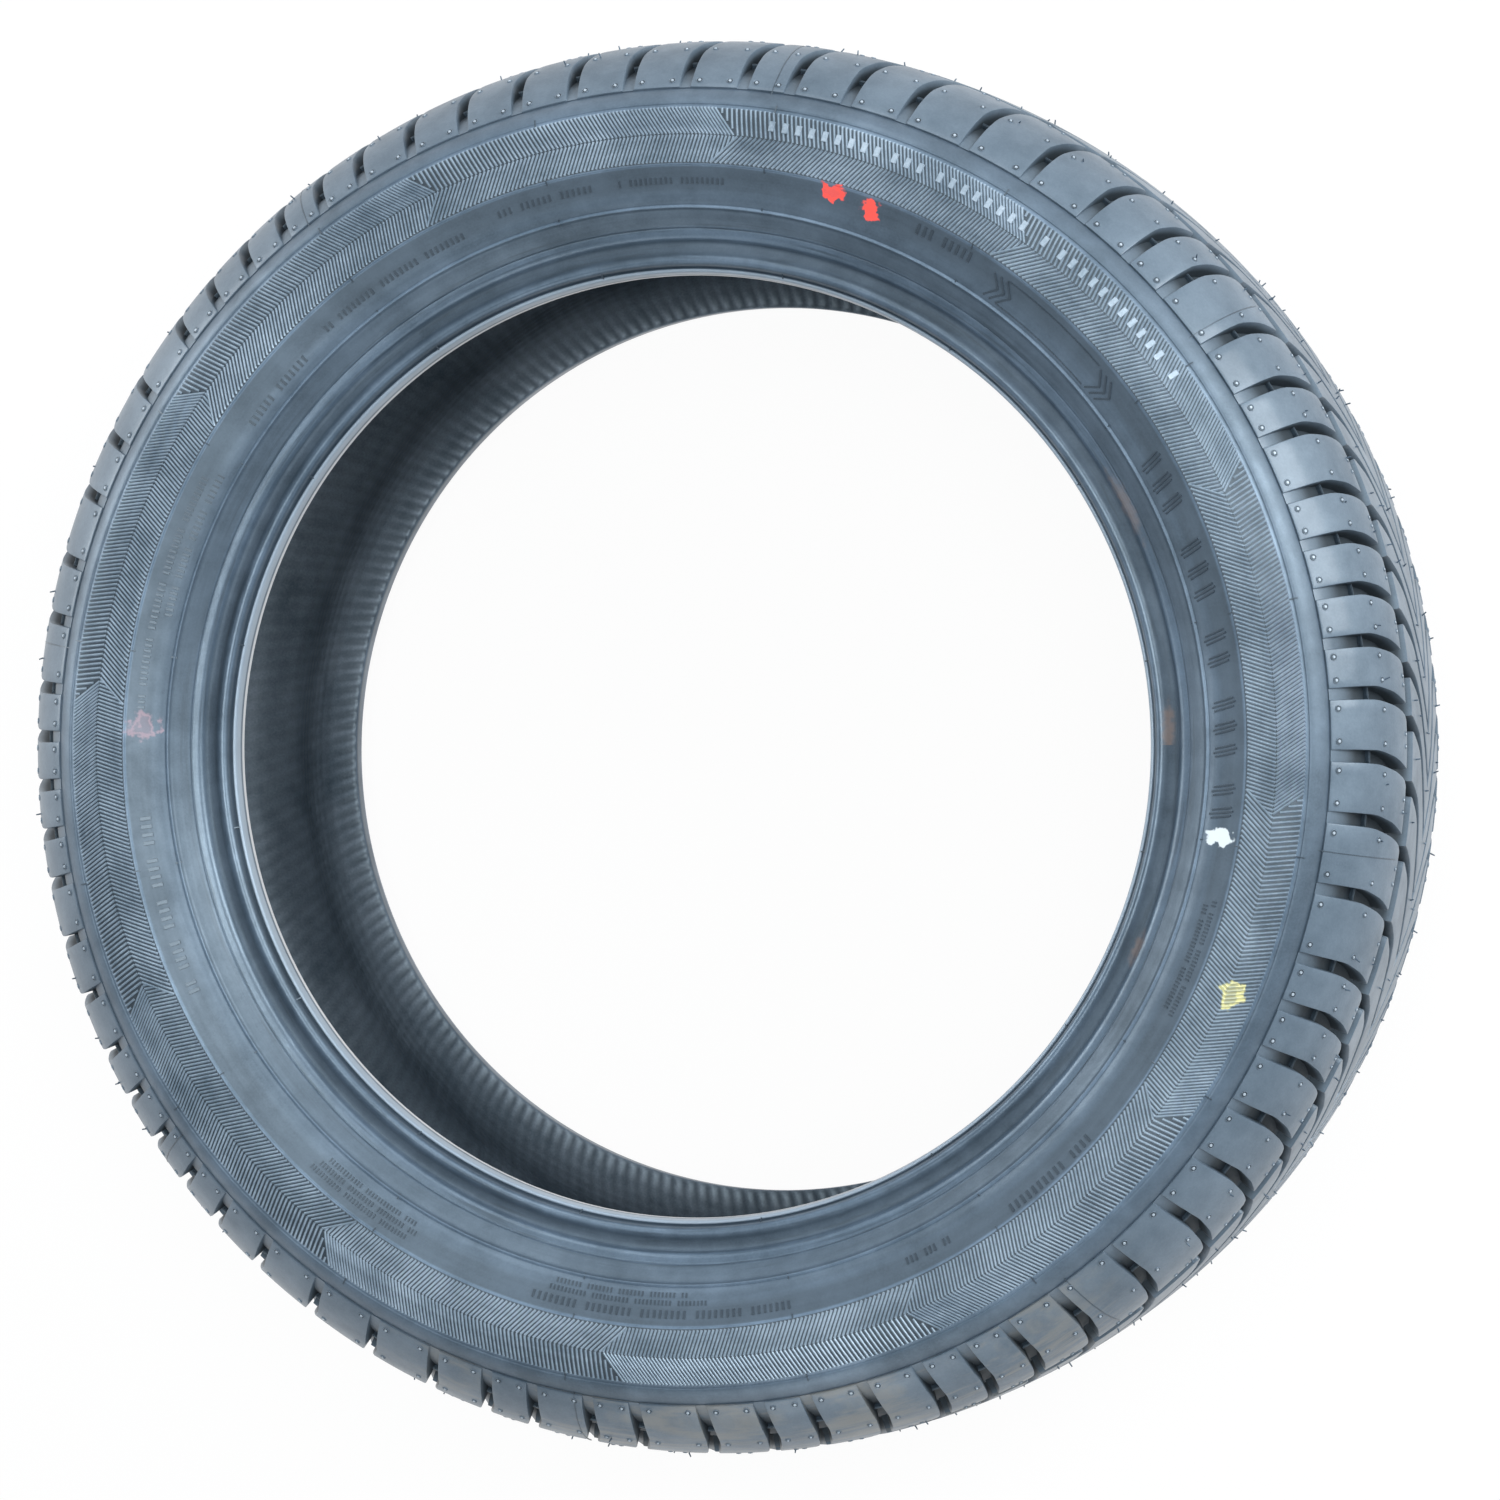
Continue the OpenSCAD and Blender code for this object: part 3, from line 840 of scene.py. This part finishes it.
def copies(pattern, places, name):
    """Copies of a thing at given matrices, joined as one piece."""
    made = []
    for place in places:
        copy = bpy.data.objects.new(name, pattern.data.copy())
        copy.data.transform(place)
        bpy.context.scene.collection.objects.link(copy)
        made.append(copy)
    bpy.data.objects.remove(pattern)
    bpy.ops.object.select_all(action="DESELECT")
    for copy in made:
        copy.select_set(True)
    bpy.context.view_layer.objects.active = made[0]
    bpy.ops.object.join()
    made[0].name = made[0].data.name = name
    return made[0]


def mirror_to_other_side(piece):
    """Repeats a piece on the other sidewall."""
    mirror = piece.modifiers.new("other_side", "MIRROR")
    mirror.use_axis = (False, False, True)
    mirror.use_mirror_merge = False
    bpy.ops.object.modifier_apply(modifier=mirror.name)


def lay_on(piece, curve):
    """Lifts a flat piece onto a ring surface, given as (radius, height) points."""
    for v in piece.data.vertices:
        v.co.z += level_on(curve, v.co.x, v.co.y) * mm


def two_tone_rubber(name, dark, light, cloud, streak, grain, gloss, rough=None, painted=False):
    """A rubber in two tones. Its roughness follows them if none is given. Store paint may lie on it."""
    made, tree = blank_material(name)
    outside = moulded(tree, dark, light, cloud, streak, grain)
    colour = outside["Color"]
    if painted:
        colour = use_group(tree, paint_marks, [("Color", colour)])["Color"]
    rubber_skin(tree, colour, outside["Roughness"] if rough is None else rough, gloss)
    return made


# Faces that point up take the crest's painted highlight
for face in rib.data.polygons:
    face.material_index = int(face.normal.z > 0.9)
one_sector = copies(rib, rib_places, "rib_sector")
turns = []
for k in range(sector_count):
    height = quiet_height if k in quiet_sectors else 1
    turns.append(Matrix.Rotation(math.radians(sector_degrees * k), 4, "Z")
                 @ Matrix.Diagonal((1, 1, height, 1)))
ribs = copies(one_sector, turns, "serrated_bands")
lay_on(ribs, band_curve)
mirror_to_other_side(ribs)
# The ribs are painted light all over as a painted sheen, and their crests lighter still as a painted
# highlight
rib_painted_sheen = {"rib_flank_painted_sheen": ((0.090, 0.130, 0.172, 1), (0.250, 0.320, 0.390, 1), 0.36),
             "rib_crest_painted_highlight": ((0.150, 0.200, 0.250, 1), (0.360, 0.440, 0.520, 1), 0.3)}
for name, (dark, light, rough) in rib_painted_sheen.items():
    ribs.data.materials.append(two_tone_rubber(name, dark, light, 1.6, 0.8, 0.8, 1.0, rough, painted=True))
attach(ribs, "root")
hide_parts("tyre")


# Vent marks: six small rings on every shoulder block, where holes in the mould let the air out.
# Each is a low rim round a dish painted dark as painted shade, with a stub in the middle, left when the
# hair broke off, painted pale as a painted highlight.
# It is modelled once and set square on the rubber.
vent_sides, vent_foot = 8, -0.1
rim_inner_r, stub_r = 1.1, 0.6
vent_rings = [(1.42, 0.1), (1.34, 0.26), (1.24, 0.14), (0.66, 0.14), (0.52, 0.44)]
vent_rows = ((0.93, 0.84, 1.0), (0.44, 0.84, 0.9), (0.05, 0.30, 0.75))

last_r, last_z = vent_rings[0][0], vent_foot
vent = start_from(bpy.ops.mesh.primitive_circle_add, vertices=vent_sides, radius=last_r * mm,
                  fill_type="NGON")
for ring_r, ring_z in vent_rings:
    bpy.ops.mesh.extrude_region_move(TRANSFORM_OT_translate={"value": (0, 0, (ring_z - last_z) * mm)})
    bpy.ops.transform.resize(value=(ring_r / last_r, ring_r / last_r, 1), center_override=(0, 0, 0))
    last_r, last_z = ring_r, ring_z
vent_mesh = bmesh.from_edit_mesh(vent.data)
for face in vent_mesh.faces:
    away = math.hypot(*face.calc_center_median().xy) / mm
    face.material_index = 0 if away > rim_inner_r else 1 if away > stub_r else 2
close_up()
bpy.ops.object.mode_set(mode="OBJECT")


def on_shoulder(t, degrees, sign, lift=0.0):
    """Matrix that sets a thing square on a shoulder block: X runs round the tyre, Z points outwards."""
    r, z = shoulder(t, -lift)
    slope = edge_turn + shoulder_turn * t
    turned = math.radians(degrees)
    outwards = Vector((math.cos(slope) * math.cos(turned), math.cos(slope) * math.sin(turned),
                       sign * math.sin(slope)))
    round_way = Vector((-math.sin(turned), math.cos(turned), 0))
    spot = Vector((r * math.cos(turned), r * math.sin(turned), sign * z)) * mm
    axes = Matrix((round_way, outwards.cross(round_way), outwards)).transposed().to_4x4()
    return Matrix.Translation(spot) @ axes


vent_places = []
vent_inset, vent_sunk = 0.42, 0.02
for start, letter in zip(groove_starts, pitch_code):
    middle = start + pitch_degrees[letter] / 2
    reach = pitch_degrees[letter] / 2 - groove_half - vent_inset
    for t, spread, grow in vent_rows:
        level = shoulder(t)[1]
        for sign in (-1, 1):
            for way in (-1, 1):
                at = middle + way * reach * spread + between(groove_turn, level)
                vent_places.append(on_shoulder(t, at, sign, -vent_sunk) @ Matrix.Scale(grow, 4))
# The dish is painted dark for its shade and the stub pale for its highlight
vent_skins = {"vent_rim": ((0.060, 0.084, 0.110, 1), (0.160, 0.205, 0.255, 1), 0.35),
              "vent_moat_painted_shade": ((0.010, 0.015, 0.021, 1), (0.036, 0.050, 0.064, 1), 0.5),
              "vent_stub_painted_highlight": ((0.200, 0.250, 0.300, 1), (0.380, 0.440, 0.500, 1), 0.35)}
for name, (dark, light, rough) in vent_skins.items():
    vent.data.materials.append(two_tone_rubber(name, dark, light, 1.0, 0.2, 0.8, 0.6, rough))
vents = copies(vent, vent_places, "vent_marks")
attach(vents, "root")
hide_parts("tyre")


# Groove bars: a thin bridge across every shoulder groove, which keeps the blocks from leaning into it.
# They are moulded with the tread, well below its face. One rounded bar is copied into all the grooves.
bar_on_arc, bar_top, bar_foot = 0.52, 4.4, 7.0
bar_wide, bar_thick, bar_round = 6.6, 0.8, 0.2
bar = start_from(bpy.ops.mesh.primitive_cube_add, size=mm)
bpy.ops.transform.resize(value=(bar_wide, bar_thick, 1), center_override=(0, 0, 0))
bpy.ops.mesh.bevel(offset=bar_round * mm, segments=1, affect="EDGES")
bpy.ops.object.mode_set(mode="OBJECT")
bar_places = []
for start in groove_starts:
    at = start + between(groove_turn, shoulder(bar_on_arc)[1])
    for sign in (-1, 1):
        bar_places.append(on_shoulder(bar_on_arc, at, sign, -(bar_top + bar_foot) / 2)
                          @ Matrix.Diagonal((1, 1, bar_foot - bar_top, 1)))
bars = copies(bar, bar_places, "groove_bars")
# The bars' rubber runs from the grooves' painted shade up to the tread's dark tone
bars.data.materials.append(two_tone_rubber("bar_rubber", groove_painted_shade, tread_dark, 1.0, 0.2, 0.8, 0.6, 0.45))
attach(bars, "root")
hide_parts("tyre")


# Sidewall marks: plain raised bars, dashes, chevrons, pads and frame lines on the ring between the bead
# and the ribs. They are cut into the mould, the fine rows a quarter of a millimetre deep and the pads three
# times that. One bar is copied flat, and all are then laid on the wall.
fine_high, tall_high, chevron_high, frame_high, tick_high, pad_high = 0.28, 0.42, 0.35, 0.25, 0.4, 0.75
bar_sunk, bar_share, gap_steps = 0.25, 0.52, 2.2
dash_crown = (0.94, 0.8, 1)
wall_curve = [
    (191.6, 78.6), (192.2, 79.7), (193.9, 80.4), (194.3, 82.0), (195.1, 83.6), (196.2, 84.3), (197.4, 84.2),
    (199.9, 81.9), (201.4, 81.3), (202.8, 81.6), (204.8, 84.6), (206.0, 85.5), (208.2, 86.3), (208.9, 87.3),
    (211.3, 89.4), (213.4, 91.2), (215.4, 93.0), (216.2, 93.95), (217.2, 93.45), (219.0, 94.75),
    (221.0, 95.75), (224.3, 96.95), (230.3, 99.35), (232.0, 100.0), (232.8, 100.72), (244.6, 100.62),
    (249.6, 100.08), (255.5, 98.68), (256.7, 97.8), (258.4, 97.45), (260.6, 95.85), (263.2, 92.8)]
dash = start_from(bpy.ops.mesh.primitive_cube_add, size=mm)
choose(dash, lambda v: v.co.z > 0)
bpy.ops.transform.resize(value=dash_crown, center_override=(0, 0, 0))
bpy.ops.object.mode_set(mode="OBJECT")


def flat_bar(r, degrees, long, wide, high, lean=0.0, aside=0.0):
    """Matrix for a bar that points outwards, leant in its plane, with its foot sunk into the wall."""
    spot = heading(degrees) * r + heading(degrees + 90) * aside
    return (Matrix.Translation((spot.x * mm, spot.y * mm, (high - bar_sunk) / 2 * mm))
            @ Matrix.Rotation(math.radians(degrees + lean), 4, "Z")
            @ Matrix.Diagonal((long, wide, high + bar_sunk, 1)))


def dashed_row(start, end, r, tall, pitch, together):
    """Matrices for a row of short bars between two angles, with a gap after every so many bars."""
    places = []
    at = start
    while at < end:
        places.append(flat_bar(r, at, tall, pitch * bar_share, fine_high))
        at += math.degrees(pitch / r) * (1 if len(places) % together else gap_steps)
    return places


# Start and end in degrees, radius, height and pitch of the bars, and how many stand together
fine_rows = [
    (84.5, 95.5, 226.3, 2.6, 2.1, 9), (98.5, 109, 226.3, 2.8, 2.4, 6), (113, 131, 224.2, 2.8, 2.4, 8),
    (134.5, 143.5, 222.0, 3.2, 2.6, 7), (150, 166, 221.5, 3.0, 2.3, 6), (151, 176, 226.6, 3.0, 2.3, 9),
    (187.5, 207, 226.0, 4.4, 3.4, 4), (228.5, 241, 228.0, 1.9, 1.5, 11), (229, 241.5, 224.8, 1.9, 1.5, 9),
    (229.5, 241, 221.6, 1.9, 1.5, 12), (255.5, 283, 227.4, 3.2, 2.5, 8), (257, 274, 223.0, 2.0, 1.6, 10),
    (257.5, 272, 219.9, 2.0, 1.6, 7), (295.5, 300.5, 225.6, 3.0, 2.0, 3),
    (307.5, 318.5, 229.0, 3.6, 2.9, 10), (332.5, 344.5, 228.2, 1.9, 1.5, 9),
    (333, 344, 225.0, 1.9, 1.5, 12), (57.5, 64, 228.0, 4.2, 2.9, 5)]
mark_places = []
for row in fine_rows:
    mark_places += dashed_row(*row)
# Tall slanted bars at the right, three by three, in five groups
tall_groups = ((29.5, 3), (20.0, 3), (10.8, 2), (4.0, 3), (-4.5, 2))
tall_r, tall_step, tall_long, tall_wide, tall_lean = 223.8, 2.3, 10.4, 0.8, 12
for first, count in tall_groups:
    for k in range(count):
        for side in (-1.6, 0, 1.6):
            mark_places.append(flat_bar(tall_r, first - tall_step * k, tall_long - abs(side), tall_wide,
                                        tall_high, tall_lean, side))
# Three nested chevrons at each end of a thin frame, pointing the way the wheel rolls
chevron_r, chevron_arm, chevron_step, chevron_turn = 223.6, 2.4, 0.8, 42
for first in (54.0, 39.5):
    for k in range(3):
        for way in (-1, 1):
            mark_places.append(flat_bar(chevron_r + way * chevron_arm, first - chevron_step * k, 7.0, 1.0,
                                        chevron_high, way * chevron_turn, -0.4))
frame_first, frame_step = 40.6, 0.52
for k in range(24):
    for r in (218.6, 229.0):
        mark_places.append(flat_bar(r, frame_first + frame_step * k, 0.45, 2.1, frame_high))
# Vent ticks on the ring lines and the bead edge
tick_first, bead_tick_first, tick_step = 12.7, 9.9, 22.5
for k in range(16):
    for r, long in ((257.2, 3.4), (232.2, 2.2), (216.4, 2.4)):
        mark_places.append(flat_bar(r, tick_first + tick_step * k, long, 0.6, tick_high))
    mark_places.append(flat_bar(193.4, bead_tick_first + tick_step * k, 2.6, 0.6, tick_high + 0.05))
# Raised pads on the outer row of ribs, in six groups
pad = bpy.data.objects.new("pad", dash.data.copy())
pad_r, pad_step, pad_long, pad_wide = 250.0, 1.28, 4.2, 2.6
pad_places = []
for first, count in ((80.2, 9), (68.2, 3), (63.6, 8), (52.2, 1), (50.2, 11), (35.2, 1)):
    for k in range(count):
        pad_places.append(flat_bar(pad_r, first - pad_step * k, pad_long, pad_wide, pad_high))
pads = copies(pad, pad_places, "sidewall_pads")
lay_on(pads, wall_curve)
mirror_to_other_side(pads)
# The pads take the ribs' crest rubber with its painted highlight
pads.data.materials.append(bpy.data.materials["rib_crest_painted_highlight"])
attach(pads, "root")
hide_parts("tyre")

marks_raised = copies(dash, mark_places, "sidewall_marks")
lay_on(marks_raised, wall_curve)
mirror_to_other_side(marks_raised)
gloss_dark = (0.016, 0.024, 0.034, 1)
gloss_light = (0.050, 0.068, 0.088, 1)
gloss_rubber = two_tone_rubber("gloss_rubber", gloss_dark, gloss_light, 0.9, 0.3, 0.3, 0.7, 0.3,
                               painted=True)
marks_raised.data.materials.append(gloss_rubber)
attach(marks_raised, "root")
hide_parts("tyre")


# Mould seams: eight hair lines a side where the mould's segments meet, from the ring lines over a block.
# Rubber creeps into the joint and leaves a low ridge.
seam_first, seam_step, seam_count = 36.0, 45.0, 8
seam_wide, seam_rise, seam_sunk = 0.35, 0.16, 0.3
seam_off_start, seam_off_end = 1.5, 1.2
seam_line = [(259.6, 96.5), (261.4, 94.8), (263.2, 92.7), (264.4, 92.1)]
seam_top = [(r, z + seam_rise) for r, z in seam_line] + [
    shoulder(t / 10, -seam_rise) for t in range(10, 0, -1)]
seam_under = [shoulder(t / 10, seam_sunk) for t in range(1, 11)] + [
    (r, z - seam_sunk) for r, z in seam_line[::-1]]
seam = draw_section("seam", seam_top + seam_under, closed=True)
bpy.ops.mesh.edge_face_add()
half_turn = math.degrees(seam_wide / 2 / foot[0])
turn_by(-half_turn)
pull_out()
turn_by(2 * half_turn)
close_up()
bpy.ops.object.mode_set(mode="OBJECT")
seam_turns = []
for k in range(seam_count):
    at = (seam_first + seam_step * k) % 360
    # A seam keeps off the grooves on both sides of its block
    blocks = [(start % 360, letter) for start, letter in zip(groove_starts, pitch_code)]
    start, letter = max(block for block in blocks if block[0] <= at)
    low, high = start + seam_off_start, start + pitch_degrees[letter] - seam_off_end
    seam_turns.append(Matrix.Rotation(math.radians(min(max(at, low), high)), 4, "Z"))
seams = copies(seam, seam_turns, "mould_seams")
mirror_to_other_side(seams)
seams.data.materials.append(gloss_rubber)
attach(seams, "root")
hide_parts("tyre")


# Vent hairs: short stubs of rubber that the air vents leave all over a new tread.
# Each is a thin five-sided cone, leaning a little at random.
hair_thick, hair_tip, hair_long = 0.34, 0.26, 1.7
hair_inset, shoulder_share, crown_share = 0.7, 0.45, 0.5
hair_seed = 12
chance = random.Random(hair_seed)
hair = start_from(bpy.ops.mesh.primitive_cone_add, vertices=5, radius1=hair_thick * mm,
                  radius2=hair_tip * mm, depth=hair_long * mm)
bpy.ops.transform.translate(value=(0, 0, hair_long / 2 * mm))
bpy.ops.object.mode_set(mode="OBJECT")


def on_crown(z, degrees):
    """Matrix that sets a thing square on the middle of the tread."""
    turned = math.radians(degrees)
    outwards = Vector((math.cos(turned), math.sin(turned), 0))
    spot = outwards * crown(z) * mm + Vector((0, 0, z * mm))
    return Matrix.Translation(spot) @ outwards.to_track_quat("Z", "Y").to_matrix().to_4x4()


hair_places = []
for start, letter in zip(groove_starts, pitch_code):
    middle = start + pitch_degrees[letter] / 2
    spread = pitch_degrees[letter] / 2 - groove_half - hair_inset
    for t, sign in ((0.05, -1), (0.05, 1), (0.4, -1), (0.4, 1)):
        if chance.random() < shoulder_share:
            side = chance.choice((-1, 1)) * spread * chance.uniform(0.4, 1)
            at = middle + side + between(groove_turn, shoulder(t)[1])
            hair_places.append(on_shoulder(t, at, sign))
    for z in (33, 22, 6, -6, -22, -33):
        if chance.random() < crown_share:
            at = middle + chance.uniform(-0.5, 0.5) * spread + between(groove_turn, abs(z))
            hair_places.append(on_crown(z, at))
hair_places = [place @ Euler((chance.uniform(-0.5, 0.5), chance.uniform(-0.5, 0.5), 0)).to_matrix().to_4x4()
               @ Matrix.Diagonal((1, 1, chance.uniform(0.5, 1.35), 1)) for place in hair_places]
hairs = copies(hair, hair_places, "vent_hairs")
hair_rubber = two_tone_rubber("hair_rubber", sidewall_dark, sidewall_light, 0.6, 0.0, 0.5, 0.6)
hairs.data.materials.append(hair_rubber)
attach(hairs, "root")
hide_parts("tyre")
